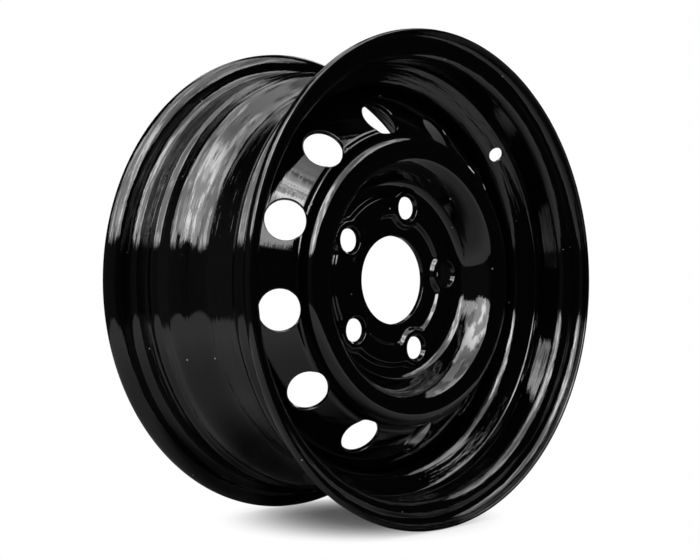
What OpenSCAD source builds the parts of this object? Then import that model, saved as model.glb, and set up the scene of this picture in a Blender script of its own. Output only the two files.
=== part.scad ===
// Steel wheel, 5.5 J x 13: a rolled rim, a pressed disc and the welds that join them.
// The wheel stands upright in its own frame: it spins about Y, its outboard face looks to -Y.

/* [Rim] */
// Specified rim diameter, at the corner of bead seat and flange
rim_d = 329.4; // [320:0.1:340]
// Width between the two flange walls
rim_w = 139.7; // [130:0.1:165]
// Rim sheet thickness
rim_t = 2.6; // [2:0.1:3.2]
// Height of the flange above the specified diameter
flange_h = 17.3; // [16:0.1:19]
// Radius of the flange top on the tyre side
flange_bend = 9.5; // [8:0.1:11]
// How far the lip curls on past the top of the flange, in degrees
lip_curl = 10; // [5:1:25]
// Straight end of the lip before its rounded edge
lip_flat = 0.3; // [0.2:0.1:2]
// Radius between the flange wall and the bead seat
seat_bend = 6.5; // [5:0.1:7.5]
// Taper of the bead seats in degrees
seat_taper = 5; // [3:0.5:6]

/* [Humps and well] */
// Distance of each hump from its flange wall
hump_pos = 22.8; // [22:0.1:24]
// Height of the hump corner over the end of the bead seat
hump_h = 2; // [1.5:0.1:2.4]
// Run of each hump flank
hump_run = 5; // [4.6:0.1:5.4]
// Bend radius at the foot and the top of the humps
hump_bend = 4.5; // [3:0.1:4.6]
// How far the foot of the outboard hump lies below the end of the bead seat
shoulder_drop = 0.3; // [0.1:0.1:0.6]
// How far the inboard ledge lies below the end of the bead seat
ledge_drop = 0.6; // [0.2:0.1:1]
// Depth of the well below the specified diameter
well_depth = 17.3; // [15:0.1:19]
// Distance of the well bottom's outboard corner from the mid-plane
well_out = 31.2; // [29:0.1:33]
// Distance of the well bottom's inboard corner from the mid-plane
well_in = 13; // [11:0.1:15]
// Slope of the outboard well wall, from the spin axis, in degrees
well_wall_slope = 57.5; // [52:0.5:62]
// Slope of the inboard well ramp, from the spin axis, in degrees
well_ramp_slope = 51; // [45:0.5:56]
// Bend radius between the outboard hump and the well wall
shoulder_bend = 5; // [4:0.1:6]
// Bend radius at the foot of the outboard well wall
well_bend = 8; // [6:0.1:10]
// Bend radius at the foot of the inboard ramp
ramp_bend = 18; // [12:0.5:20]
// Bend radius between the inboard ramp and the ledge
ledge_bend = 8; // [6:0.1:10]

/* [Valve] */
// Diameter of the valve hole
valve_d = 11.5; // [8:0.1:12]
// Place of the valve hole around the wheel, in degrees from +X towards +Z
valve_clock = 41; // [0:0.1:360]

/* [Disc] */
// Disc sheet thickness
disc_t = 4; // [3:0.1:5]
// Offset of the hub face, outboard of the rim's mid-plane
offset_et = 30; // [20:0.5:34]
// Diameter of the centre bore
bore_d = 66.5; // [54:0.1:74]
// Chamfer at both ends of the centre bore
bore_chamfer = 0.6; // [0.3:0.1:1.2]
// Radius of the flat hub plate
hub_flat_r = 67; // [64:0.1:70]
// Bend radius between the hub plate and the bowl wall
bowl_bend = 10; // [8:0.1:12]
// Slope of the bowl wall from the hub plate, in degrees
bowl_slope = 64; // [60:0.5:66]
// Slope of the crest's outer wall from the hub plate, in degrees
crest_wall_slope = 72; // [68:0.5:75]
// Place of the crest's inner shoulder, as a share of the way from the bowl's foot to the walls' meeting point
shoulder_in = 0.513; // [0.48:0.001:0.54]
// Place of its outer shoulder, as a share of the way from the outer wall's foot to that point
shoulder_out = 0.331; // [0.31:0.001:0.35]
// Share of the crest's top that the inner shoulder's bend takes
round_in = 0.585; // [0.5:0.005:0.6]
// Share of the crest's top that the outer shoulder's bend takes
round_out = 0.375; // [0.34:0.005:0.39]
// Width of bowl and crest together, from the flat hub plate to the foot of the crest's outer wall
dish_w = 43.4; // [42.8:0.1:43.8]
// Width of the narrow step between that wall and the vented flank
step_w = 3.7; // [3.3:0.1:4.6]
// Slope of the step from the hub plate, in degrees
step_slope = 15; // [12:0.5:20]
// Bend radius at the foot of the wall
foot_bend = 3; // [2.5:0.1:3.5]
// Bend radius between the step and the flank
flank_bend = 6; // [5.5:0.1:7]
// Slope of the vented flank from the hub plate, in degrees
flank_slope = 38; // [34:0.5:42]
// Bend radius between the flank and the skirt
skirt_bend = 10; // [8:0.1:12]
// Distance of the skirt's inboard edge from the mid-plane
skirt_end = 3; // [1:0.1:4]
// Gap between the skirt and the well before welding
skirt_gap = 0.1; // [0.05:0.05:0.3]

/* [Lug pad] */
// Number of wheel bolts
lug_n = 5; // [4:1:6]
// Pitch circle diameter of the wheel bolts
lug_pcd = 112; // [108:0.5:114]
// Diameter of a bolt hole behind its seat
lug_d = 17; // [13:0.1:18]
// Diameter of the mouth of the conical bolt seat
lug_seat_d = 20.6; // [19:0.1:24]
// Included angle of the bolt seat in degrees
lug_seat_angle = 60; // [60:5:90]
// Place of the first bolt hole around the wheel, in degrees from +X towards +Z
lug_clock = 4.6; // [0:0.1:72]
// How far the pad stands out of the hub plate
pad_h = 3; // [2:0.1:3.6]
// Inner radius of the pad's top between the bolts
pad_in_r = 49.5; // [47:0.1:52]
// Outer radius of the pad's top between the bolts
pad_out_r = 62.5; // [60:0.1:64]
// Radius of the pad's top round each bolt hole
pad_lobe_r = 13.6; // [12.6:0.1:15]
// Run of the pad's sloping edge
pad_edge = 3.4; // [2.5:0.1:4]
// How much higher the bolt lobes stand than the ring between them
lobe_rise = 0.4; // [0.2:0.1:0.8]

/* [Vents] */
// Number of vent holes
vent_n = 12; // [8:1:14]
// Diameter of a vent hole
vent_d = 29.6; // [20:0.1:32]
// Radius of the circle of vent holes
vent_r = 121.7; // [119:0.1:124]
// Distance of the vent centres, outboard of the rim's mid-plane
vent_out = 41; // [38:0.1:44]
// Place of the first vent around the wheel, in degrees from +X towards +Z
vent_clock = 9.6; // [0:0.1:30]

/* [Welds] */
// Number of weld runs between the disc and the rim
weld_n = 6; // [4:1:8]
// Length of a weld run round the wheel, in degrees
weld_arc = 34; // [20:1:44]
// Leg of the fillet weld
weld_leg = 4; // [3:0.1:5]

/* [Hidden] */
$fn = 96;
paint = [0.03, 0.03, 0.035];
cut = 1;
// Length of a drill, in thicknesses of the sheet that it goes through
drill = 4;
// Angle of one facet of a bend, and of a rolled edge
arc_step = 7.5;
edge_step = 22.5;

// Profile points are [radius, distance outboard of the mid-plane, bend radius].
seat_r = rim_d / 2;
wall = rim_w / 2;
flange_r = seat_r + flange_h;
seat_end_r = seat_r - (hump_pos - hump_run) * tan(seat_taper);
hump_r = seat_end_r + hump_h;
well_r = seat_r - well_depth;
ledge_r = seat_end_r - ledge_drop;
lip_turn = 90 + lip_curl;
lip_tangent = flange_bend * tan(lip_turn / 2);
lip_corner_r = flange_r - flange_bend + lip_tangent;
lip_run = lip_tangent + lip_flat;
shoulder_r = seat_end_r - shoulder_drop;
shoulder = well_out + (shoulder_r - well_r) / tan(well_wall_slope);
ramp_top = well_in + (ledge_r - well_r) / tan(well_ramp_slope);
rim_line = [
    [lip_corner_r - lip_run * sin(lip_curl), wall + lip_run * cos(lip_curl), 0],
    [lip_corner_r, wall, flange_bend],
    [seat_r, wall, seat_bend],
    [seat_end_r, wall - hump_pos + hump_run, hump_bend],
    [hump_r, wall - hump_pos, hump_bend],
    [shoulder_r, shoulder, shoulder_bend],
    [well_r, well_out, well_bend],
    [well_r, -well_in, ramp_bend],
    [ledge_r, -ramp_top, ledge_bend],
    [ledge_r, hump_pos + hump_run - wall, hump_bend],
    [hump_r, hump_pos - wall, hump_bend],
    [seat_end_r, hump_pos - hump_run - wall, hump_bend],
    [seat_r, -wall, seat_bend],
    [lip_corner_r, -wall, flange_bend],
    [lip_corner_r - lip_run * sin(lip_curl), -wall - lip_run * cos(lip_curl), 0]
];
valve_r = (shoulder_r + well_r) / 2;
valve_out = (shoulder + well_out) / 2;

hub_front = offset_et + disc_t;
bowl_corner_r = hub_flat_r + bowl_bend * tan(bowl_slope / 2);
step_in_r = hub_flat_r + dish_w;
step_out_r = step_in_r + step_w;
step_out = vent_out + (vent_r - step_out_r) * tan(flank_slope);
step_in = step_out + step_w * tan(step_slope);
meet_r = (step_in - hub_front + bowl_corner_r * tan(bowl_slope) + step_in_r * tan(crest_wall_slope))
    / (tan(bowl_slope) + tan(crest_wall_slope));
meet = [meet_r, hub_front + (meet_r - bowl_corner_r) * tan(bowl_slope)];
crest_in = [bowl_corner_r, hub_front] + (meet - [bowl_corner_r, hub_front]) * shoulder_in;
crest_out = [step_in_r, step_in] + (meet - [step_in_r, step_in]) * shoulder_out;
crest_w = norm(crest_out - crest_in);
crest_slope = asin((crest_out[1] - crest_in[1]) / crest_w);
crest_in_bend = crest_w * round_in / tan((bowl_slope - crest_slope) / 2);
crest_out_bend = crest_w * round_out / tan((crest_wall_slope + crest_slope) / 2);
skirt_r = well_r - rim_t - skirt_gap;
skirt_corner = vent_out - (skirt_r - vent_r) * tan(flank_slope);
disc_line = [
    [bore_d / 2, hub_front, 0],
    [bowl_corner_r, hub_front, bowl_bend],
    [crest_in[0], crest_in[1], crest_in_bend],
    [crest_out[0], crest_out[1], crest_out_bend],
    [step_in_r, step_in, foot_bend],
    [step_out_r, step_out, flank_bend],
    [skirt_r, skirt_corner, skirt_bend],
    [skirt_r, -skirt_end, 0]
];
lug_seat_depth = (lug_seat_d - lug_d) / 2 / tan(lug_seat_angle / 2);
// How deep the raised pad is rooted in the hub plate
pad_root = disc_t / 8;

// A bent line is a list of profile points. The sheet lies on the right of its direction.
function place(p) = [p[0], p[1]];
function along(line, i) = place(line[i + 1] - line[i]) / norm(place(line[i + 1] - line[i]));
function left_of(v) = [-v[1], v[0]];
function turned(v, angle) = [v[0] * cos(angle) - v[1] * sin(angle), v[0] * sin(angle) + v[1] * cos(angle)];
function reversed(list) = [for (i = [len(list) - 1 : -1 : 0]) list[i]];
function hand(line, i) = sign(cross(along(line, i - 1), along(line, i)));
function turn(line, i) = acos(along(line, i - 1) * along(line, i));
function bend_start(line, i) = place(line[i]) - along(line, i - 1) * line[i][2] * tan(turn(line, i) / 2);
function bend_centre(line, i) = bend_start(line, i) + left_of(along(line, i - 1)) * hand(line, i) * line[i][2];

// Points of one bend on the surface that lies at the given depth in the sheet.
function bend_arc(line, i, depth) = let (steps = ceil(turn(line, i) / arc_step))
    [for (k = [0 : steps]) bend_centre(line, i) - (hand(line, i) * line[i][2] + depth)
        * turned(left_of(along(line, i - 1)), hand(line, i) * turn(line, i) * k / steps)];

// The whole surface of the sheet at the given depth, from the first point of the line to the last.
function surface_line(line, depth) = let (last = len(line) - 1) concat(
    [place(line[0]) - left_of(along(line, 0)) * depth],
    [for (i = [1 : last - 1]) each bend_arc(line, i, depth)],
    [place(line[last]) - left_of(along(line, last - 1)) * depth]
);

// The rolled edge that ends a sheet, a half circle from one face to the other.
function rolled_edge(face, ahead, t) = [for (angle = [edge_step : edge_step : 180 - edge_step])
    face - left_of(ahead) * t / 2 + turned(left_of(ahead), -angle) * t / 2];

// The section of a sheet of one thickness that follows a bent line.
module sheet_section(line, t, rolled = false) {
    face = surface_line(line, 0);
    back = surface_line(line, t);
    end_edge = rolled ? rolled_edge(face[len(face) - 1], along(line, len(line) - 2), t) : [];
    start_edge = rolled ? rolled_edge(back[0], -along(line, 0), t) : [];
    polygon(concat(face, end_edge, reversed(back), start_edge));
}

// Turns a piece made round Z, outboard up, so that it spins about Y with outboard to -Y.
module upright() {
    rotate([90, 0, 0]) children();
}

// The pad's raised form over a plate at the given height: a ring with sloping edges
// and a round lobe at each bolt that stands a little higher. The ring starts below the
// plate by the given depth, and the lobes by twice as much.
module pad(plate, below) {
    draft = pad_edge / pad_h;
    base = plate - below;
    ring_run = draft * (pad_h + below);
    lobe_run = draft * (pad_h + lobe_rise + 2 * below);
    rotate_extrude() polygon([
        [pad_in_r - ring_run, base], [pad_out_r + ring_run, base],
        [pad_out_r, plate + pad_h], [pad_in_r, plate + pad_h]
    ]);
    for (i = [0 : lug_n - 1]) rotate(lug_clock + i * 360 / lug_n)
        translate([lug_pcd / 2, 0, base - below])
            cylinder(r1 = pad_lobe_r + lobe_run, r2 = pad_lobe_r, h = pad_h + lobe_rise + 2 * below);
}

module bolt_holes() {
    top = hub_front + pad_h + lobe_rise;
    for (i = [0 : lug_n - 1]) rotate(lug_clock + i * 360 / lug_n) translate([lug_pcd / 2, 0, 0]) {
        translate([0, 0, offset_et - cut]) cylinder(d = lug_d, h = top - offset_et + 2 * cut);
        translate([0, 0, top - lug_seat_depth])
            cylinder(d1 = lug_d, d2 = lug_seat_d, h = lug_seat_depth);
        translate([0, 0, top]) cylinder(d = lug_seat_d, h = cut);
    }
}

// The two chamfers of the centre bore, each a cone that widens out of the hub plate.
module bore_chamfers() {
    wide = bore_d / 2 + bore_chamfer + cut;
    narrow = bore_d / 2;
    translate([0, 0, hub_front - bore_chamfer]) cylinder(r1 = narrow, r2 = wide, h = bore_chamfer + cut);
    translate([0, 0, offset_et - cut]) cylinder(r1 = wide, r2 = narrow, h = bore_chamfer + cut);
}

module vent_holes() {
    for (i = [0 : vent_n - 1]) rotate(vent_clock + i * 360 / vent_n)
        translate([vent_r, 0, vent_out]) rotate([0, flank_slope, 0])
            cylinder(d = vent_d, h = drill * disc_t, center = true);
}

module valve_hole() {
    rotate(valve_clock) translate([valve_r, 0, valve_out]) rotate([0, well_wall_slope - 90, 0])
        cylinder(d = valve_d, h = drill * rim_t, center = true);
}

module rim() {
    color(paint) upright() difference() {
        rotate_extrude() sheet_section(rim_line, rim_t, rolled = true);
        valve_hole();
    }
}

module disc() {
    color(paint) upright() difference() {
        union() {
            rotate_extrude() sheet_section(disc_line, disc_t);
            pad(hub_front, pad_root);
        }
        pad(offset_et, cut);
        bore_chamfers();
        bolt_holes();
        vent_holes();
    }
}

module disc_welds() {
    color(paint) upright() for (i = [0 : weld_n - 1]) rotate(i * 360 / weld_n)
        rotate_extrude(angle = weld_arc) polygon([
            [skirt_r, -skirt_end], [skirt_r - weld_leg, -skirt_end], [skirt_r, -skirt_end - weld_leg]
        ]);
}

rim();
disc();
disc_welds();
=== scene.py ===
# Steel wheel, 5.5 J x 13: the looks of its rolled rim, its pressed disc and its weld beads.
# Metres and degrees. The wheel spins about Y, its outboard face looks to -Y, +Z is up.
import math

import bpy
import numpy as np
from mathutils import Matrix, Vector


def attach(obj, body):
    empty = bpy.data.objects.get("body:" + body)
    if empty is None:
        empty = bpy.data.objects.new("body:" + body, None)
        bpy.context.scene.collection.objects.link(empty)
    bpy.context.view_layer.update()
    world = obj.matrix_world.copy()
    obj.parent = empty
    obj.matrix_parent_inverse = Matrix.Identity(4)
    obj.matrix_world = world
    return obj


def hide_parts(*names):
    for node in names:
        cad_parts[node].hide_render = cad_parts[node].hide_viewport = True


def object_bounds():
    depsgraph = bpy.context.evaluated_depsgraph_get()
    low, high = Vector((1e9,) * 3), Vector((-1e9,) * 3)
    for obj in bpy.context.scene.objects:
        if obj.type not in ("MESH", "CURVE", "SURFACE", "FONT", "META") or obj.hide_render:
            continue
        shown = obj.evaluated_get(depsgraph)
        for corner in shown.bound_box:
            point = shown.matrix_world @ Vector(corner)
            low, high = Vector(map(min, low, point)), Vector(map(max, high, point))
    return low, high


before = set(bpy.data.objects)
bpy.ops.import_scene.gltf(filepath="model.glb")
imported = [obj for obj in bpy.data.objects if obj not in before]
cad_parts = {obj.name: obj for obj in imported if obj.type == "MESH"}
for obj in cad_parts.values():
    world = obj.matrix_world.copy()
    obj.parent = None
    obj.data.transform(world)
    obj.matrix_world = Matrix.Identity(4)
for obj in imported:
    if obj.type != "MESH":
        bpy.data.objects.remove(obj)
cad_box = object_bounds()

# Rim section
RIM_D = 0.3294
RIM_W = 0.1397
RIM_T = 0.0026
FLANGE_H = 0.0173
FLANGE_BEND = 0.0095
LIP_CURL = 10
LIP_FLAT = 0.0003
SEAT_BEND = 0.0065
SEAT_TAPER = 5
HUMP_POS = 0.0228
HUMP_H = 0.002
HUMP_RUN = 0.005
HUMP_BEND = 0.0045
SHOULDER_DROP = 0.0003
LEDGE_DROP = 0.0006
WELL_DEPTH = 0.0173
WELL_OUT = 0.0312
WELL_IN = 0.013
WELL_WALL_SLOPE = 57.5
WELL_RAMP_SLOPE = 51
SHOULDER_BEND = 0.005
WELL_BEND = 0.008
RAMP_BEND = 0.018
LEDGE_BEND = 0.014

# Valve hole and the butt weld that closes the rolled rim
VALVE_D = 0.0115
VALVE_CLOCK = 41
VALVE_ROUND = 0.0004
SEAM_CLOCK = -90
SEAM_H = 0.00008
SEAM_W = 0.0012

# Disc section
DISC_T = 0.004
OFFSET_ET = 0.030
BORE_D = 0.0665
BORE_ROUND = 0.0006
HUB_FLAT_R = 0.067
BOWL_BEND = 0.010
BOWL_SLOPE = 64
CREST_TOP = 0.0603
# The bends of the crest's bowl side, from its top down to the wall: turn in degrees and radius
CREST_EASE = ((41, 0.0096), (15, 0.0317), (8, 0.050))
CREST_OUT_BEND = 0.0105
CREST_WALL_SLOPE = 72
DISH_W = 0.0434
STEP_W = 0.0037
STEP_SLOPE = 15
FOOT_BEND = 0.003
FLANK_BEND = 0.006
FLANK_SLOPE = 38
SKIRT_BEND = 0.010
SKIRT_END = 0.003
SKIRT_GAP = 0.0001
SKIRT_ROUND = 0.0005

# Bolt pad and bolt seats
LUG_N = 5
LUG_PCD = 0.112
LUG_D = 0.017
LUG_SEAT_D = 0.0206
LUG_SEAT_ANGLE = 60
LUG_CLOCK = 4.6
LUG_ROUND = 0.0009
PAD_H = 0.003
PAD_IN_R = 0.0495
PAD_OUT_R = 0.0625
PAD_LOBE_R = 0.0136
PAD_EDGE = 0.0026
LOBE_RISE = 0.0004
# Half width of the rounding at the foot and the top of the pad's slope, as a share of its run
PAD_SOFT = 0.22
# Blend between the ring and the lobes, and how sharply the pad runs into the bowl
PAD_BLEND = 0.003
PAD_POWER = 4

# Vents
VENT_N = 12
VENT_D = 0.0296
VENT_R = 0.1217
VENT_OUT = 0.041
VENT_CLOCK = 9.6
VENT_ROUND = 0.0008

# Weld beads between the disc and the rim
WELD_N = 6
WELD_ARC = 34
WELD_LEG = 0.004
WELD_BULGE = 0.0007
WELD_PITCH = 0.0021
WELD_RIPPLE = 0.00012
WELD_TAPER = 0.004
WELD_TIP = 0.15
WELD_STEPS = 8
WELD_SIDES = 11

# Fineness of the meshes: turn of one facet in a bend, longest facet on a straight run
TURN_STEP = 6
EDGE_STEPS = 5
RIM_GAP = 0.008
RIM_COLUMN = 1.5
DISC_COLUMN = 1.2
DISC_GAP = 0.004
HUB_GAP = 0.0011
# The block of the grid that a hole replaces: half its run along the line, half its turn
VALVE_BLOCK = (0.009, 4)
VENT_BLOCK = (0.020, 10)
LUG_BLOCK = (0.0125, 13)
# Finer columns at the valve hole and at the butt weld, and half the turn of the latter
VALVE_COLUMN = 0.5
SEAM_COLUMN = 0.25
SEAM_HALF = 1.5
# Step for slopes of the surfaces, and the play of comparisons
SLOPE_STEP = 1e-5
NEAR = 1e-6


def tan(angle):
    return math.tan(math.radians(angle))


def sin(angle):
    return math.sin(math.radians(angle))


def cos(angle):
    return math.cos(math.radians(angle))


# The bent lines that the two sheets follow

class BentLine:
    """Straight runs joined by round bends in the half-section of the wheel.

    Points are (radius, distance outboard of the mid-plane, bend radius). The sheet lies on the
    right of the line, so its face looks to the left. Lengths along the line find its points.
    """

    ARC_SAMPLE = 0.5

    def __init__(self, points):
        places = np.array([p[:2] for p in points])
        steps = np.diff(places, axis=0)
        headings = np.unwrap(np.arctan2(steps[:, 1], steps[:, 0]))
        track = [(*places[0], headings[0])]
        self.bends = []
        for i in range(1, len(points) - 1):
            track += self.bend(places[i], points[i][2], headings[i - 1], headings[i])
        track.append((*places[-1], headings[-1]))
        track = np.array(track)
        runs = np.hypot(*np.diff(track[:, :2], axis=0).T)
        self.lengths = np.concatenate([[0], np.cumsum(runs)])
        self.track = track
        self.total = self.lengths[-1]

    def bend(self, corner, radius, before, after):
        turn = after - before
        tangent = radius * abs(math.tan(turn / 2))
        start = corner - tangent * np.array([math.cos(before), math.sin(before)])
        hand = math.copysign(1, turn)
        centre = start + hand * radius * np.array([-math.sin(before), math.cos(before)])
        count = max(2, math.ceil(abs(math.degrees(turn)) / self.ARC_SAMPLE))
        self.bends.append((count + 1, turn))
        arc = []
        for heading in np.linspace(before, after, count + 1):
            side = np.array([-math.sin(heading), math.cos(heading)])
            arc.append((*(centre - hand * radius * side), heading))
        return arc

    def at(self, u):
        """Radius, outboard distance and heading at the given lengths along the line."""
        return [np.interp(u, self.lengths, self.track[:, k]) for k in range(3)]

    def rows(self, gap):
        """Lengths along the line for the rows of a mesh: even in bends, at most gap apart on runs."""
        rows = [0.0]
        index = 1
        for count, turn in self.bends:
            start, end = self.lengths[index], self.lengths[index + count - 1]
            rows += spread(rows[-1], start, math.ceil((start - rows[-1]) / gap - NEAR))
            rows += spread(start, end, math.ceil(abs(math.degrees(turn)) / TURN_STEP))
            index += count
        rows += spread(rows[-1], self.total, math.ceil((self.total - rows[-1]) / gap))
        return np.array(rows)


def spread(start, end, count):
    """The places after start that divide the stretch up to end into count steps."""
    if count < 1:
        return []
    return list(np.linspace(start, end, count + 1)[1:])


def rim_line():
    seat_r = RIM_D / 2
    wall = RIM_W / 2
    seat_end_r = seat_r - (HUMP_POS - HUMP_RUN) * tan(SEAT_TAPER)
    hump_r = seat_end_r + HUMP_H
    well_r = seat_r - WELL_DEPTH
    ledge_r = seat_end_r - LEDGE_DROP
    shoulder_r = seat_end_r - SHOULDER_DROP
    shoulder = WELL_OUT + (shoulder_r - well_r) / tan(WELL_WALL_SLOPE)
    ramp_top = WELL_IN + (ledge_r - well_r) / tan(WELL_RAMP_SLOPE)
    lip_tangent = FLANGE_BEND * tan((90 + LIP_CURL) / 2)
    lip_corner_r = seat_r + FLANGE_H - FLANGE_BEND + lip_tangent
    lip_run = lip_tangent + LIP_FLAT
    lip_r = lip_corner_r - lip_run * sin(LIP_CURL)
    lip = wall + lip_run * cos(LIP_CURL)
    return BentLine([
        (lip_r, lip, 0),
        (lip_corner_r, wall, FLANGE_BEND),
        (seat_r, wall, SEAT_BEND),
        (seat_end_r, wall - HUMP_POS + HUMP_RUN, HUMP_BEND),
        (hump_r, wall - HUMP_POS, HUMP_BEND),
        (shoulder_r, shoulder, SHOULDER_BEND),
        (well_r, WELL_OUT, WELL_BEND),
        (well_r, -WELL_IN, RAMP_BEND),
        (ledge_r, -ramp_top, LEDGE_BEND),
        (ledge_r, HUMP_POS + HUMP_RUN - wall, HUMP_BEND),
        (hump_r, HUMP_POS - wall, HUMP_BEND),
        (seat_end_r, HUMP_POS - HUMP_RUN - wall, HUMP_BEND),
        (seat_r, -wall, SEAT_BEND),
        (lip_corner_r, -wall, FLANGE_BEND),
        (lip_r, -lip, 0),
    ])


HUB_FRONT = OFFSET_ET + DISC_T
WELL_R = RIM_D / 2 - WELL_DEPTH
SKIRT_R = WELL_R - RIM_T - SKIRT_GAP


def crest_corners(bowl_foot_r):
    """Corners of the bends from the bowl wall to the crest's top, with no straight run between."""
    place = np.array([0.0, CREST_TOP])
    slope = 0
    corners = []
    for turn, radius in CREST_EASE:
        reach = radius * tan(turn / 2)
        corner = place - reach * np.array([cos(slope), sin(slope)])
        slope += turn
        place = corner - reach * np.array([cos(slope), sin(slope)])
        corners.append((*corner, radius))
    shift = bowl_foot_r + (place[1] - HUB_FRONT) / tan(BOWL_SLOPE) - place[0]
    return [(r + shift, a, radius) for r, a, radius in reversed(corners)]


def disc_line():
    bowl_foot_r = HUB_FLAT_R + BOWL_BEND * tan(BOWL_SLOPE / 2)
    step_in_r = HUB_FLAT_R + DISH_W
    step_out_r = step_in_r + STEP_W
    step_out = VENT_OUT + (VENT_R - step_out_r) * tan(FLANK_SLOPE)
    step_in = step_out + STEP_W * tan(STEP_SLOPE)
    crest_out_r = step_in_r - (CREST_TOP - step_in) / tan(CREST_WALL_SLOPE)
    skirt_corner = VENT_OUT - (SKIRT_R - VENT_R) * tan(FLANK_SLOPE)
    return BentLine([
        (BORE_D / 2, HUB_FRONT, 0),
        (bowl_foot_r, HUB_FRONT, BOWL_BEND),
        *crest_corners(bowl_foot_r),
        (crest_out_r, CREST_TOP, CREST_OUT_BEND),
        (step_in_r, step_in, FOOT_BEND),
        (step_out_r, step_out, FLANK_BEND),
        (SKIRT_R, skirt_corner, SKIRT_BEND),
        (SKIRT_R, -SKIRT_END, 0),
    ])


RIM_LINE = rim_line()
DISC_LINE = disc_line()


# The surfaces of the two sheets: face True is the side that the line draws, False is the back

def wheel_point(r, a, theta):
    return np.stack([r * np.cos(theta), -a, r * np.sin(theta)], axis=-1)


def sheet_place(line, t, u, face):
    r, a, heading = line.at(u)
    depth = 0 if face else t
    return r + depth * np.sin(heading), a - depth * np.cos(heading), heading


def rim_surface(u, theta, face):
    u, theta = np.broadcast_arrays(u, theta)
    r, a, heading = sheet_place(RIM_LINE, RIM_T, u, face)
    across = r * np.sin(theta - math.radians(SEAM_CLOCK))
    below = np.cos(theta - math.radians(SEAM_CLOCK)) > 0
    lift = np.where(below, SEAM_H * np.exp(-(across / SEAM_W) ** 2), 0)
    lift = lift if face else -lift
    return wheel_point(r - lift * np.sin(heading), a + lift * np.cos(heading), theta)


def soft_step(x):
    """A ramp from 0 at x = 0 to 1 at x = 1 whose two corners are rounded."""
    def bent(y):
        return np.where(y > PAD_SOFT, y, np.maximum(y + PAD_SOFT, 0) ** 2 / (4 * PAD_SOFT))
    return bent(x) - bent(x - 1)


def soft_max(a, b, blend):
    share = np.maximum(blend - np.abs(a - b), 0) / blend
    return np.maximum(a, b) + share ** 2 * blend / 4


def pad_height(r, theta):
    """Height of the bolt pad over the hub plate: a ring and a slightly higher lobe at each bolt."""
    pitch = 2 * math.pi / LUG_N
    turn = theta - math.radians(LUG_CLOCK)
    turn = turn - pitch * np.round(turn / pitch)
    from_bolt = np.hypot(r * np.cos(turn) - LUG_PCD / 2, r * np.sin(turn))
    ring = np.minimum(r - PAD_IN_R, PAD_OUT_R - r)
    lobe = PAD_LOBE_R - from_bolt
    inside = soft_max(ring, lobe, PAD_BLEND)
    return PAD_H * soft_step(1 + inside / PAD_EDGE) + LOBE_RISE * soft_step(1 + lobe / PAD_EDGE)


def disc_surface(u, theta, face):
    u, theta = np.broadcast_arrays(u, theta)
    r, a, _ = sheet_place(DISC_LINE, DISC_T, u, face)
    plate = HUB_FRONT if face else OFFSET_ET
    height = pad_height(r, theta)
    bowl = np.maximum(a - plate, 0)
    joined = plate + (bowl ** PAD_POWER + height ** PAD_POWER) ** (1 / PAD_POWER)
    return wheel_point(r, np.where(height > 0, joined, a), theta)


def surface_normal(surface, u, theta, face):
    along = surface(u + SLOPE_STEP, theta, face) - surface(u - SLOPE_STEP, theta, face)
    around = surface(u, theta + SLOPE_STEP, face) - surface(u, theta - SLOPE_STEP, face)
    normal = np.cross(along, around)
    normal = normal / np.linalg.norm(normal, axis=-1, keepdims=True)
    return normal if face else -normal


# Meshes made of rows and rings

class Shell:
    """A closed mesh with the exact normal of the surface at each point."""

    def __init__(self):
        self.points = []
        self.normals = []
        self.faces = []
        self.caps = []
        self.count = 0

    def add(self, points, normals):
        shape = points.shape[:-1]
        size = int(np.prod(shape))
        self.points.append(points.reshape(-1, 3))
        self.normals.append(normals.reshape(-1, 3))
        self.count += size
        return np.arange(self.count - size, self.count).reshape(shape)

    def bridge(self, ring, following):
        """Quads between two closed rings of points, one after the other."""
        quads = np.stack([ring, np.roll(ring, -1), np.roll(following, -1), following], axis=-1)
        self.faces.append(quads)

    def grid(self, index, keep=None):
        """Quads of a grid whose columns close round the wheel. keep marks the quads to make."""
        after = np.roll(index, -1, axis=1)
        quads = np.stack([index[:-1], index[1:], after[1:], after[:-1]], axis=-1)
        self.faces.append(quads.reshape(-1, 4) if keep is None else quads[keep])

    def build(self, name):
        mesh = bpy.data.meshes.new(name)
        points = np.concatenate(self.points)
        faces = np.concatenate(self.faces)
        mesh.from_pydata(points.tolist(), [], faces.tolist() + self.caps)
        mesh.shade_smooth()
        mesh.normals_split_custom_set_from_vertices(np.concatenate(self.normals).tolist())
        mesh.validate()
        piece = bpy.data.objects.new(name, mesh)
        bpy.context.scene.collection.objects.link(piece)
        return piece


def edge_rings(line, t, end, rounding, inset, columns):
    """Points and normals of the rounded edge at one end of a sheet, from its face to its back."""
    r, a, heading = line.at(line.total if end else 0)
    side = np.array([-math.sin(heading), math.cos(heading)])
    ahead = np.array([math.cos(heading), math.sin(heading)]) * (1 if end else -1)
    foot = np.array([r, a]) - ahead * inset
    rings = []
    for depth, first, second in ((rounding, side, ahead), (t - rounding, ahead, -side)):
        for turn in np.linspace(0, math.pi / 2, EDGE_STEPS + 1):
            normal = first * math.cos(turn) + second * math.sin(turn)
            rings.append((foot - side * depth + rounding * normal, normal))
    if rounding == t / 2:
        del rings[EDGE_STEPS]

    def around(pair):
        return wheel_point(np.full_like(columns, pair[0]), np.full_like(columns, pair[1]), columns)
    return [(around(place), around(normal)) for place, normal in rings[1:-1]]


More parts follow.
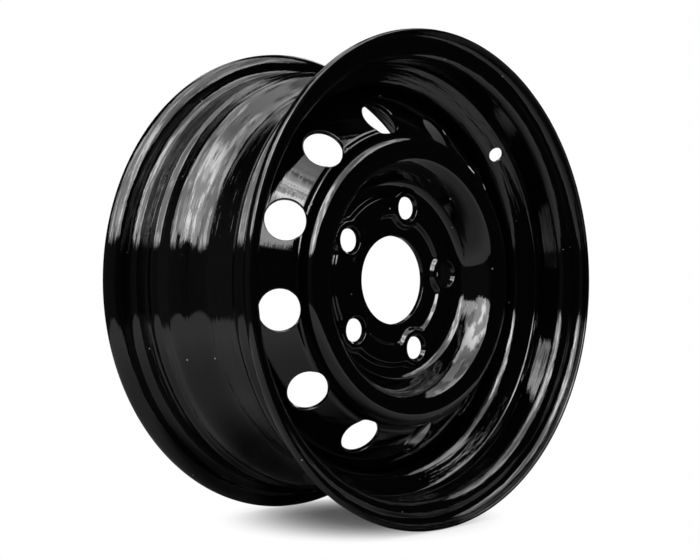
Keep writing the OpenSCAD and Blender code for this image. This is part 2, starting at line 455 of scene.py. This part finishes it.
class Hole:
    """A round hole through a sheet, at a length along its line and an angle round the wheel."""

    FACE_RINGS = 5
    CROWD = 1.5
    SEARCH = 30
    SEARCH_PACE = 0.8

    def __init__(self, line, t, surface, u, clock, half_run, half_turn):
        self.line = line
        self.t = t
        self.surface = surface
        self.u = u
        self.theta = math.radians(clock)
        self.half_run = half_run
        self.half_turn = math.radians(half_turn)
        self.place = line.at(u)
        self.centre = {face: surface(u, self.theta, face) for face in (True, False)}

    def from_sheet(self, u, theta, face):
        """Place (p, q) of a point of the sheet, from the hole's axis and seen along that axis."""
        r, a, _ = sheet_place(self.line, self.t, u, face)
        centre_r, centre_a, heading = self.place
        turn = theta - self.theta
        p = (r * np.cos(turn) - centre_r) * math.cos(heading) + (a - centre_a) * math.sin(heading)
        return p, r * np.sin(turn)

    def to_sheet(self, p, q, face):
        """Length and angle of the point of the sheet that is seen at (p, q)."""
        u = self.u + p
        for _ in range(self.SEARCH):
            r, _, heading = sheet_place(self.line, self.t, u, face)
            theta = self.theta + np.arcsin(q / r)
            u = u + (p - self.from_sheet(u, theta, face)[0]) * self.SEARCH_PACE
        return u, theta

    def block(self, rows, columns):
        """The rows and columns of the grid that the hole's own rings take the place of."""
        low = int(np.argmin(np.abs(rows - self.u + self.half_run)))
        high = int(np.argmin(np.abs(rows - self.u - self.half_run)))
        turns = np.angle(np.exp(1j * (columns - self.theta)))
        order = np.argsort(turns)
        inside = [k for k in order if abs(turns[k]) <= self.half_turn + NEAR]
        return low, high, inside

    def rings_on(self, face, border, edge):
        """Rings on one side of the sheet, from the block's border to the hole's edge, both (p, q)."""
        rings = []
        for k in range(1, self.FACE_RINGS + 1):
            share = (1 - k / self.FACE_RINGS) ** self.CROWD
            u, theta = self.to_sheet(*(edge + (border - edge) * share), face)
            rings.append((self.surface(u, theta, face), surface_normal(self.surface, u, theta, face)))
        return rings

    def wall(self, p, q, face_ring, back_ring):
        """Rings of the rounded wall between the two sides."""
        axis = self.centre[True] - self.centre[False]
        axis = axis / np.linalg.norm(axis)
        rings = []
        for (points, normals), towards in ((face_ring, 1), (back_ring, -1)):
            inward = self.centre[towards == 1] - points
            inward = inward - (inward @ axis)[:, None] * axis
            inward = inward - np.sum(inward * normals, axis=1, keepdims=True) * normals
            inward = inward / np.linalg.norm(inward, axis=1, keepdims=True)
            arc = []
            for turn in np.linspace(0, math.pi / 2, EDGE_STEPS + 1)[1:]:
                normal = normals * math.cos(turn) + inward * math.sin(turn)
                arc.append((points + self.rounding * (normal - normals), normal))
            rings += arc if towards == 1 else arc[::-1]
        return rings

    def cut(self, shell, index, rows, columns, radius, rounding, keep):
        """Makes the hole in the grids of both sides, and marks the quads that it replaces."""
        self.rounding = rounding
        low, high, inside = self.block(rows, columns)
        for k in inside[:-1]:
            keep[low:high, k] = False
        border = [(i, inside[0]) for i in range(low, high)]
        border += [(high, k) for k in inside[:-1]]
        border += [(i, inside[-1]) for i in range(high, low, -1)]
        border += [(low, k) for k in inside[:0:-1]]
        i, j = np.array(border).T
        border = {side: np.array(self.from_sheet(rows[i], columns[j], side)) for side in (True, False)}
        edge = border[True] * (radius + rounding) / np.hypot(*border[True])
        face = self.rings_on(True, border[True], edge)
        back = self.rings_on(False, border[False], edge)
        middle = self.wall(*edge, face[-1], back[-1])
        ring = index[True][i, j]
        for points, normals in face + middle + back[::-1]:
            following = shell.add(points, normals)
            shell.bridge(ring, following)
            ring = following
        shell.bridge(ring, index[False][i, j])


class BoltHole(Hole):
    """A bolt hole with a conical seat on the face of the pad."""

    def wall(self, p, q, face_ring, back_ring):
        angle = np.arctan2(q, p)
        slope = LUG_SEAT_ANGLE / 2
        depth = (LUG_SEAT_D - LUG_D) / 2 / tan(slope)
        profile = BentLine([
            (LUG_SEAT_D / 2 + 2 * LUG_ROUND, 0, 0),
            (LUG_SEAT_D / 2, 0, LUG_ROUND),
            (LUG_D / 2, -depth, LUG_ROUND),
            (LUG_D / 2, -DISC_T, LUG_ROUND),
            (LUG_D / 2 + 2 * LUG_ROUND, -DISC_T, 0),
        ])
        out = np.array([math.cos(self.theta), 0, math.sin(self.theta)])
        across = np.array([-math.sin(self.theta), 0, math.cos(self.theta)])
        spoke = np.cos(angle)[:, None] * out + np.sin(angle)[:, None] * across
        axis = np.array([0, -1.0, 0])
        rings = []
        for u in profile.rows(DISC_GAP)[1:-1]:
            r, z, heading = profile.at(u)
            points = self.centre[True] + r * spoke + z * axis
            normals = math.sin(heading) * spoke - math.cos(heading) * axis
            rings.append((points, normals))
        return rings


def sheet_shell(line, t, surface, rows, columns, ends, holes):
    """A sheet piece: both sides, its two edges, each (rounding, inset), and its holes."""
    shell = Shell()
    index = {}
    for face in (True, False):
        u, theta = np.meshgrid(rows, columns, indexing="ij")
        index[face] = shell.add(surface(u, theta, face), surface_normal(surface, u, theta, face))
    keep = np.ones((len(rows) - 1, len(columns)), bool)
    for hole, radius, rounding in holes:
        hole.cut(shell, index, rows, columns, radius, rounding, keep)
    shell.grid(index[True], keep)
    shell.grid(index[False][::-1], keep[::-1])
    for end, (rounding, inset) in enumerate(ends):
        edge = edge_rings(line, t, end, rounding, inset, columns)
        rings = [shell.add(*ring) for ring in edge]
        side = -1 if end else 0
        chain = [index[True][side], *rings, index[False][side]]
        chain = chain if end else chain[::-1]
        for ring, following in zip(chain, chain[1:]):
            shell.grid(np.stack([ring, following]))
    return shell


def columns_with(step, clock, fine):
    """Angles round the wheel, even through clock, with fine stretches (clock, half, step)."""
    angles = clock + np.arange(0, 360, step)
    for middle, half, fine_step in fine:
        away = (angles - middle + 180) % 360 - 180
        angles = angles[np.abs(away) > half + fine_step / 2]
        angles = np.concatenate([angles, middle + np.arange(-half, half + fine_step / 2, fine_step)])
    return np.radians(np.sort(angles % 360))


def make_rim():
    seat_end_r = RIM_D / 2 - (HUMP_POS - HUMP_RUN) * tan(SEAT_TAPER)
    valve_r = (seat_end_r - SHOULDER_DROP + WELL_R) / 2
    outboard = RIM_LINE.lengths < RIM_LINE.total / 2
    on_wall = outboard & (RIM_LINE.track[:, 0] < seat_end_r)
    valve_u = np.interp(-valve_r, -RIM_LINE.track[on_wall, 0], RIM_LINE.lengths[on_wall])
    valve = Hole(RIM_LINE, RIM_T, rim_surface, valve_u, VALVE_CLOCK, *VALVE_BLOCK)
    fine = [(VALVE_CLOCK, VALVE_BLOCK[1], VALVE_COLUMN), (SEAM_CLOCK, SEAM_HALF, SEAM_COLUMN)]
    columns = columns_with(RIM_COLUMN, 0, fine)
    rows = RIM_LINE.rows(RIM_GAP)
    ends = [(RIM_T / 2, 0), (RIM_T / 2, 0)]
    holes = [(valve, VALVE_D / 2, VALVE_ROUND)]
    return sheet_shell(RIM_LINE, RIM_T, rim_surface, rows, columns, ends, holes).build("rim_shell")


def make_disc():
    columns = columns_with(DISC_COLUMN, VENT_CLOCK, [])
    first, last = BORE_ROUND, DISC_LINE.total - SKIRT_ROUND
    rows = DISC_LINE.rows(DISC_GAP)
    hub_end = HUB_FLAT_R - BORE_D / 2
    hub = spread(first, hub_end, math.ceil((hub_end - first) / HUB_GAP))
    rows = np.array([first, *hub, *rows[(rows > hub_end + NEAR) & (rows < last)], last])
    vent_u = np.interp(VENT_R, DISC_LINE.track[:, 0], DISC_LINE.lengths)
    lug_u = (LUG_PCD - BORE_D) / 2
    holes = []
    for i in range(VENT_N):
        clock = VENT_CLOCK + i * 360 / VENT_N
        vent = Hole(DISC_LINE, DISC_T, disc_surface, vent_u, clock, *VENT_BLOCK)
        holes.append((vent, VENT_D / 2, VENT_ROUND))
    for i in range(LUG_N):
        clock = LUG_CLOCK + i * 360 / LUG_N
        bolt = BoltHole(DISC_LINE, DISC_T, disc_surface, lug_u, clock, *LUG_BLOCK)
        holes.append((bolt, LUG_SEAT_D / 2, LUG_ROUND))
    ends = [(BORE_ROUND, BORE_ROUND), (SKIRT_ROUND, SKIRT_ROUND)]
    return sheet_shell(DISC_LINE, DISC_T, disc_surface, rows, columns, ends, holes).build("disc_pressing")


def make_welds():
    """Six rippled fillet beads in the corner between the skirt's edge and the well."""
    shell = Shell()
    half = math.radians(WELD_ARC) / 2
    length = 2 * half * SKIRT_R
    along = np.linspace(-half, half, int(length / WELD_PITCH * WELD_STEPS) + 1)
    to_end = (half - np.abs(along)) * SKIRT_R
    swell = np.sqrt(np.clip(1 - np.clip(1 - to_end / WELD_TAPER, 0, 1) ** 2, WELD_TIP ** 2, 1))
    round_bead = np.linspace(0, math.pi / 2, WELD_SIDES)
    out_r = np.append(-np.cos(round_bead), math.sqrt(0.5))
    out_a = np.append(-np.sin(round_bead), math.sqrt(0.5))
    for i in range(WELD_N):
        middle = math.radians((i * 360 / WELD_N) + WELD_ARC / 2)
        points = []
        normals = []
        for turn, size in zip(along, swell):
            lag = np.sin(2 * round_bead) * WELD_PITCH
            wave = np.cos(2 * math.pi * (turn * SKIRT_R + lag) / WELD_PITCH)
            flat = WELD_LEG / (np.cos(round_bead) + np.sin(round_bead))
            leg = size * (flat + (WELD_BULGE + WELD_RIPPLE * wave) * np.sin(2 * round_bead))
            r = SKIRT_R - leg * np.cos(round_bead)
            a = -SKIRT_END - leg * np.sin(round_bead)
            r = np.append(r, SKIRT_R)
            a = np.append(a, -SKIRT_END)
            theta = np.full_like(r, middle + turn)
            points.append(wheel_point(r, a, theta))
            normals.append(wheel_point(out_r, out_a, theta))
        index = shell.add(np.array(points), np.array(normals))
        for ring, following in zip(index, index[1:]):
            shell.bridge(following, ring)
        shell.caps += [index[0].tolist(), index[-1][::-1].tolist()]
    return shell.build("weld_beads")


def stand_in(piece, node):
    """The piece is shown in the place of a node of the frame."""
    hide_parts(node)
    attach(piece, "root")


# Paint

class Nodes:
    """Short ways to add and join the nodes of a material or the world."""

    def __init__(self, owner):
        owner.use_nodes = True
        self.tree = owner.node_tree
        self.tree.nodes.clear()

    def add(self, kind, values=None, **settings):
        node = self.tree.nodes.new(kind)
        for name, value in settings.items():
            setattr(node, name, value)
        for name, value in (values or {}).items():
            if isinstance(value, bpy.types.NodeSocket):
                self.tree.links.new(value, node.inputs[name])
            else:
                node.inputs[name].default_value = value
        return node

    def math(self, operation, a, b=0.0):
        return self.add("ShaderNodeMath", {0: a, 1: b}, operation=operation).outputs[0]

    def noise(self, vector, scale, detail, roughness=0.5, fourth=None):
        """Noise in three dimensions, or in four where a fourth coordinate is given."""
        values = {"Vector": vector, "Scale": scale, "Detail": detail, "Roughness": roughness}
        settings = {}
        if fourth is not None:
            values["W"] = fourth
            settings["noise_dimensions"] = "4D"
        return self.add("ShaderNodeTexNoise", values, **settings).outputs["Fac"]

    def ramp(self, value, low, high):
        """0 below low, 1 above high, smooth between."""
        node = self.add("ShaderNodeMapRange", {"Value": value, "From Min": low, "From Max": high},
                        interpolation_type="SMOOTHSTEP")
        return node.outputs["Result"]


PAINT_BLACK = (0.0012, 0.0012, 0.0014, 1)
PAINT_IOR = 1.5
GLOSS_LOW = 0.015
GLOSS_HIGH = 0.035
SPECK_GREY = (0.25, 0.25, 0.24, 1)
SPECK_SCALE = 160
SPECK_SHARE = 0.90
SPECK_SIZE = 0.10
PEEL_SCALE = 420
PEEL_DEPTH = 2.0e-6
WAVE_SCALE = 35
WAVE_DEPTH = 4.0e-5
LINE_SCALE = 550
RIDGE_SCALE = 150
LINE_STRETCH = 0.015
RIM_LINES = 1.8e-4
RIM_RIDGES = 5.0e-4
DISC_LINES = 3.0e-5
DISC_RIDGES = 8.0e-5
SMEAR_SCALE = 14
SMEAR_NOISE = (0.35, 0.75)


def paint(name, roll_lines, roll_ridges):
    """Black gloss enamel: orange peel, the sheet's slight waves and a little dust.

    roll_lines and roll_ridges are the depths of the fine and the wide rings that rolling leaves
    round the wheel.
    """
    material = bpy.data.materials.new(name)
    n = Nodes(material)
    place = n.add("ShaderNodeTexCoord").outputs["Object"]
    axes = n.add("ShaderNodeSeparateXYZ", {"Vector": place}).outputs
    squares = [n.math("POWER", axes[axis], 2.0) for axis in "XZ"]
    radius = n.math("SQRT", n.math("ADD", *squares))
    across, upward = [
        n.math("MULTIPLY", n.math("DIVIDE", axes[axis], radius), LINE_STRETCH) for axis in "XZ"]
    section = n.add("ShaderNodeCombineXYZ", {"X": axes["Y"], "Y": radius, "Z": across}).outputs[0]
    lines = n.noise(section, LINE_SCALE, 3.0, fourth=upward)
    ridges = n.noise(section, RIDGE_SCALE, 1.0, fourth=upward)
    peel = n.noise(place, PEEL_SCALE, 1.0)
    waves = n.noise(place, WAVE_SCALE, 1.0)
    smear = n.noise(place, SMEAR_SCALE, 3.0)
    specks = n.add("ShaderNodeTexVoronoi", {"Vector": place, "Scale": SPECK_SCALE, "Randomness": 1.0})
    pick = n.add("ShaderNodeSeparateColor", {"Color": specks.outputs["Color"]})
    size = n.math("MULTIPLY", n.ramp(pick.outputs["Red"], SPECK_SHARE, 1.0), SPECK_SIZE)
    speck = n.math("LESS_THAN", specks.outputs["Distance"], size)
    colour = n.add("ShaderNodeMix", {"Factor": speck, "A": PAINT_BLACK, "B": SPECK_GREY}, data_type="RGBA")
    rough = n.add("ShaderNodeMapRange", {
        "Value": smear, "From Min": SMEAR_NOISE[0], "From Max": SMEAR_NOISE[1],
        "To Min": GLOSS_LOW, "To Max": GLOSS_HIGH})
    bumped = {}
    bumps = ((waves, WAVE_DEPTH), (peel, PEEL_DEPTH), (ridges, roll_ridges), (lines, roll_lines))
    for height, depth in bumps:
        bump = n.add("ShaderNodeBump", {"Height": height, "Strength": 1.0, "Distance": depth, **bumped})
        bumped = {"Normal": bump.outputs["Normal"]}
    shader = n.add("ShaderNodeBsdfPrincipled", {
        "Base Color": colour.outputs[2], "Roughness": rough.outputs["Result"], "IOR": PAINT_IOR, **bumped})
    n.add("ShaderNodeOutputMaterial", {"Surface": shader.outputs[0]})
    return material


rim = make_rim()
disc = make_disc()
welds = make_welds()
looks = (
    (rim, "rim", RIM_LINES, RIM_RIDGES),
    (disc, "disc", DISC_LINES, DISC_RIDGES),
    (welds, "disc_welds", 0.0, 0.0),
)
for piece, node, lines, ridges in looks:
    stand_in(piece, node)
    piece.data.materials.append(paint(piece.name + "_paint", lines, ridges))


# The set: a pale floor, and round the wheel a dome and a ground card that only its gloss shows
# Azimuth 0 is in front of the wheel, 90 on the right, -90 on the left. Heights are angles from level.

DOME_R = 2.6
DOME_LOW = -4
DOME_STEPS = 64
FLOOR_R = 6.0
FLOOR_SIDES = 96
FLOOR_FADE = (0.182, 0.215)
FLOOR_PALE = (0.95, 0.95, 0.95, 1)
WHITE = (1, 1, 1, 1)
# Least glow of the dome and the card
FLAG_GLOW = 0.006
# Sky: its glow by azimuth, as steps that add up round the wheel and end where they began
SKY_GLOW = 4.5
SKY_STEPS = (((-140, -100), 3.0), ((-85, -60), 5.0), ((-42, 0), -8.0))
# It dims towards the top and behind a grey bank of cloud on the left
HIGH_DIM = 0.55
HIGH_FROM = (40, 72)
GREY_AZIMUTHS = (-90, -84, -72, -64)
GREY_DIM = 0.45
# Skyline: its height by azimuth, in the same way
LINE_HEIGHT = 58.0
LINE_STEPS = (
    ((-156, -126), -44.0), ((-82, -77), 5.0), ((-72, -66), -5.0),
    ((-35, -22), 13.0), ((-22, 10), 11.0), ((50, 100), 20.0))
LINE_SOFT = 3.0
SKY_RAGGED = 9.0
TREE_SCALE = 20.0
TREE_ROUGH = 0.65
# Clouds: limits of their noise, and the share of the glow that thin and thick ones have
CLOUD_SCALE = 3.5
CLOUD_NOISE = (0.45, 0.57)
CLOUD_THIN = 0.50
CLOUD_THICK = 1.35
# A stretch of sky with small dark clouds
MOTTLE_AZIMUTHS = (-32, -28, -14, -8)
MOTTLE_HEIGHTS = (32, 36, 46, 50)
MOTTLE_NOISE = (0.40, 0.60)
MOTTLE_THIN = 0.35
MOTTLE_THICK = 1.25
# Soft box on the right, and a dim one behind on the right that shows through the low vents
SIDE_GLOW = 5.0
SIDE_AZIMUTHS = (88, 94, 126, 134)
SIDE_HEIGHTS = (12, 16, 36, 42)
BACK_GLOW = 1.0
BACK_AZIMUTHS = (143, 147, 160, 168)
BACK_HEIGHTS = (32, 36, 58, 64)
# Ground: a round patch, off to the left. Its glow rises with distance from the wheel, and the low part
# near the wheel is painted shadow of the wheel
GROUND_GLOW_AND_PAINTED_SHADOW = (((0.07, 0.20), 0.36), ((0.20, 0.50), 0.29))
GROUND_PLACE = (-0.16, -0.03, 0)
GROUND_EDGE = (0.57, 0.63)
GROUND_BACK = (-160, -90)
GROUND_BACK_DIM = 0.45
GROUND_RINGS = (0.03, 1.0, DOME_R)
GROUND_LIFT = 0.001
# What lies far out on the left
FAR_GLOW = 0.10
FAR_AZIMUTHS = (-160, -140, -50, -30)


def gloss_only(name, points, light_of):
    """A glowing grid of the set that only gloss shows. It takes no light away and gives none.

    light_of makes the strength of the glow in the nodes of its material.
    """
    index = np.arange(points.size // 3).reshape(points.shape[:-1])
    quads = np.stack([index[:-1, :-1], index[:-1, 1:], index[1:, 1:], index[1:, :-1]], axis=-1)
    mesh = bpy.data.meshes.new(name)
    mesh.from_pydata(points.reshape(-1, 3).tolist(), [], quads.reshape(-1, 4).tolist())
    material = bpy.data.materials.new(name)
    n = Nodes(material)
    shader = n.add("ShaderNodeEmission", {"Strength": light_of(n)})
    n.add("ShaderNodeOutputMaterial", {"Surface": shader.outputs[0]})
    mesh.materials.append(material)
    card = bpy.data.objects.new(name, mesh)
    bpy.context.scene.collection.objects.link(card)
    card.visible_camera = False
    card.visible_diffuse = False
    card.visible_shadow = False


def direction(n):
    """Azimuth and height in degrees of a point of the set, and its direction from the centre."""
    place = n.add("ShaderNodeTexCoord").outputs["Object"]
    unit = n.add("ShaderNodeVectorMath", {0: place}, operation="NORMALIZE").outputs["Vector"]
    axes = n.add("ShaderNodeSeparateXYZ", {"Vector": unit})
    front = n.math("MULTIPLY", axes.outputs["Y"], -1.0)
    azimuth = n.math("DEGREES", n.math("ARCTAN2", axes.outputs["X"], front))
    height = n.math("DEGREES", n.math("ARCSINE", axes.outputs["Z"]))
    return azimuth, height, unit


def between(n, value, rise_from, rise_to, fall_from, fall_to):
    """1 between two values, with soft edges."""
    fall = n.math("SUBTRACT", 1.0, n.ramp(value, fall_from, fall_to))
    return n.math("MULTIPLY", n.ramp(value, rise_from, rise_to), fall)


def steps_of(n, value, start, steps):
    """A level that starts at start and changes by an amount over each range of value."""
    level = start
    for (low, high), change in steps:
        level = n.math("ADD", n.math("MULTIPLY", n.ramp(value, low, high), change), level)
    return level


def spread_of(n, noise, limits, low, high):
    """Noise stretched to the values from low to high."""
    node = n.add("ShaderNodeMapRange", {
        "Value": noise, "From Min": limits[0], "From Max": limits[1], "To Min": low, "To Max": high},
        interpolation_type="SMOOTHSTEP")
    return node.outputs["Result"]


def dimmed(n, light, share, dim):
    """The light less a part dim of it where share is 1."""
    return n.math("MULTIPLY", light, n.math("SUBTRACT", 1.0, n.math("MULTIPLY", share, dim)))


def far_glow(n, azimuth, noise):
    """The dim light of what lies far out on the left, between sky and ground."""
    far = n.math("MULTIPLY", between(n, azimuth, *FAR_AZIMUTHS), n.math("MULTIPLY", noise, FAR_GLOW))
    return n.math("ADD", far, FLAG_GLOW)


def patch(n, azimuth, height, azimuths, heights):
    """1 in a patch of the dome, with soft edges."""
    return n.math("MULTIPLY", between(n, azimuth, *azimuths), between(n, height, *heights))


def dome_light(n):
    """A cloudy sky over a ragged skyline that is low on the left, and two soft boxes on the right."""
    azimuth, height, unit = direction(n)
    cloud = spread_of(n, n.noise(unit, CLOUD_SCALE, 2.0), CLOUD_NOISE, CLOUD_THIN, CLOUD_THICK)
    trees = n.noise(unit, TREE_SCALE, 6.0, TREE_ROUGH)
    ragged = n.math("MULTIPLY", n.math("SUBTRACT", trees, 0.5), SKY_RAGGED)
    turned = n.math("ADD", azimuth, ragged)
    mottle = n.math("SUBTRACT", 1.0, spread_of(n, trees, MOTTLE_NOISE, MOTTLE_THIN, MOTTLE_THICK))
    sky = steps_of(n, azimuth, SKY_GLOW, SKY_STEPS)
    sky = dimmed(n, sky, n.ramp(height, *HIGH_FROM), HIGH_DIM)
    sky = dimmed(n, sky, between(n, turned, *GREY_AZIMUTHS), GREY_DIM)
    sky = dimmed(n, sky, patch(n, azimuth, height, MOTTLE_AZIMUTHS, MOTTLE_HEIGHTS), mottle)
    skyline = steps_of(n, azimuth, LINE_HEIGHT, LINE_STEPS)
    over = n.math("SUBTRACT", n.math("ADD", height, ragged), skyline)
    light = n.math("MULTIPLY", sky, n.ramp(over, 0.0, LINE_SOFT))
    boxes = ((SIDE_GLOW, SIDE_AZIMUTHS, SIDE_HEIGHTS), (BACK_GLOW, BACK_AZIMUTHS, BACK_HEIGHTS))
    for glow, azimuths, heights in boxes:
        box = n.math("MULTIPLY", patch(n, azimuth, height, azimuths, heights), glow)
        light = n.math("MAXIMUM", light, box)
    return n.math("MAXIMUM", n.math("MULTIPLY", light, cloud), far_glow(n, azimuth, trees))


def make_dome():
    turns = np.radians(np.linspace(-180, 180, DOME_STEPS + 1))
    heights = np.radians(np.linspace(DOME_LOW, 90, DOME_STEPS // 4 + 1))
    azimuth, height = np.meshgrid(turns, heights)
    level = np.cos(height)
    points = np.stack([np.sin(azimuth) * level, -np.cos(azimuth) * level, np.sin(height)], axis=-1)
    gloss_only("studio_dome", DOME_R * points, dome_light)


def ground_light(n):
    """Grey ground round the wheel, dark further out, with the wheel's shadow painted in as dimming near
    it.
    """
    azimuth, _, unit = direction(n)
    place = n.add("ShaderNodeTexCoord").outputs["Object"]
    level = n.add("ShaderNodeVectorMath", {0: place, 1: (1, 1, 0)}, operation="MULTIPLY").outputs["Vector"]
    away = n.add("ShaderNodeVectorMath", {0: level}, operation="LENGTH").outputs["Value"]
    off = n.add("ShaderNodeVectorMath", {0: level, 1: GROUND_PLACE}, operation="DISTANCE").outputs["Value"]
    # The steps dim the ground towards the wheel: painted shadow of the wheel
    light = dimmed(n, steps_of(n, away, 0.0, GROUND_GLOW_AND_PAINTED_SHADOW), n.ramp(off, *GROUND_EDGE), 1.0)
    behind = n.math("SUBTRACT", 1.0, n.ramp(azimuth, *GROUND_BACK))
    light = dimmed(n, light, behind, GROUND_BACK_DIM)
    return n.math("MAXIMUM", light, far_glow(n, azimuth, n.noise(unit, TREE_SCALE, 6.0)))


def make_ground_card():
    turns = np.radians(np.linspace(-180, 180, DOME_STEPS + 1))
    azimuth, reach = np.meshgrid(turns, GROUND_RINGS)
    low = np.full_like(reach, cad_box[0].z + GROUND_LIFT)
    points = np.stack([reach * np.sin(azimuth), -reach * np.cos(azimuth), low], axis=-1)
    gloss_only("ground_card", points, ground_light)


def seen(n):
    """1 for rays that look at the set: from the camera, a glossy surface or through glass."""
    path = n.add("ShaderNodeLightPath")
    return n.math("MAXIMUM", path.outputs["Is Camera Ray"],
                  n.math("MAXIMUM", path.outputs["Is Glossy Ray"], path.outputs["Is Transmission Ray"]))


def make_floor():
    """A pale floor that keeps the wheel's shadow and turns to plain white a little further out."""
    mesh = bpy.data.meshes.new("floor")
    turns = np.linspace(0, 2 * math.pi, FLOOR_SIDES, endpoint=False)
    low = cad_box[0].z
    ring = [(FLOOR_R * math.cos(t), FLOOR_R * math.sin(t), low) for t in turns]
    mesh.from_pydata(ring, [], [list(range(len(ring)))])
    floor = bpy.data.objects.new("floor", mesh)
    bpy.context.scene.collection.objects.link(floor)
    material = bpy.data.materials.new("floor_pale")
    n = Nodes(material)
    place = n.add("ShaderNodeTexCoord").outputs["Object"]
    away = n.add("ShaderNodeVectorMath", {0: place}, operation="LENGTH").outputs["Value"]
    pale = n.add("ShaderNodeBsdfDiffuse", {"Color": FLOOR_PALE})
    white = n.add("ShaderNodeEmission", {"Strength": 1.0})
    far = n.math("MULTIPLY", n.ramp(away, *FLOOR_FADE), seen(n))
    shader = n.add("ShaderNodeMixShader", {0: far, 1: pale.outputs[0], 2: white.outputs[0]})
    n.add("ShaderNodeOutputMaterial", {"Surface": shader.outputs[0]})
    mesh.materials.append(material)


make_dome()
make_ground_card()
make_floor()

WORLD_FILL = 0.9
world = bpy.data.worlds.new("studio")
bpy.context.scene.world = world
nodes = Nodes(world)
fill = nodes.add("ShaderNodeBackground", {"Color": WHITE, "Strength": WORLD_FILL})
white = nodes.add("ShaderNodeBackground", {"Color": WHITE, "Strength": 1.0})
mixed = nodes.add("ShaderNodeMixShader", {0: seen(nodes), 1: fill.outputs[0], 2: white.outputs[0]})
nodes.add("ShaderNodeOutputWorld", {"Surface": mixed.outputs[0]})

KEY_PLACE = (-1.3, -0.5, 1.9)
KEY_SIZE = 1.6
KEY_POWER = 12
key_light = bpy.data.lights.new("key", "AREA")
key_light.size = KEY_SIZE
key_light.energy = KEY_POWER
key = bpy.data.objects.new("key", key_light)
key.location = KEY_PLACE
key.rotation_euler = (-key.location).to_track_quat("-Z", "Y").to_euler()
key.visible_glossy = False
key.visible_camera = False
bpy.context.scene.collection.objects.link(key)

# Camera at the photo's viewing angle

CAM_AZIMUTH = -44.25
CAM_ROLL = -0.30
CAM_AWAY = 1.058
CAM_RIGHT = -0.0089
CAM_UP = 0.0002
CAM_LENS = 70.64


def make_camera():
    back = np.array([sin(CAM_AZIMUTH), -cos(CAM_AZIMUTH), 0])
    level = np.array([cos(CAM_AZIMUTH), sin(CAM_AZIMUTH), 0])
    up = np.array([0, 0, 1.0])
    right = level * cos(CAM_ROLL) + up * sin(CAM_ROLL)
    top = np.cross(back, right)
    data = bpy.data.cameras.new("camera")
    data.lens = CAM_LENS
    camera = bpy.data.objects.new("camera", data)
    axes = np.eye(4)
    axes[:3, 0], axes[:3, 1], axes[:3, 2] = right, top, back
    axes[:3, 3] = back * CAM_AWAY + level * CAM_RIGHT + up * CAM_UP
    camera.matrix_world = Matrix(axes.tolist())
    bpy.context.scene.collection.objects.link(camera)
    bpy.context.scene.camera = camera


make_camera()
bpy.context.scene.view_settings.view_transform = "Standard"
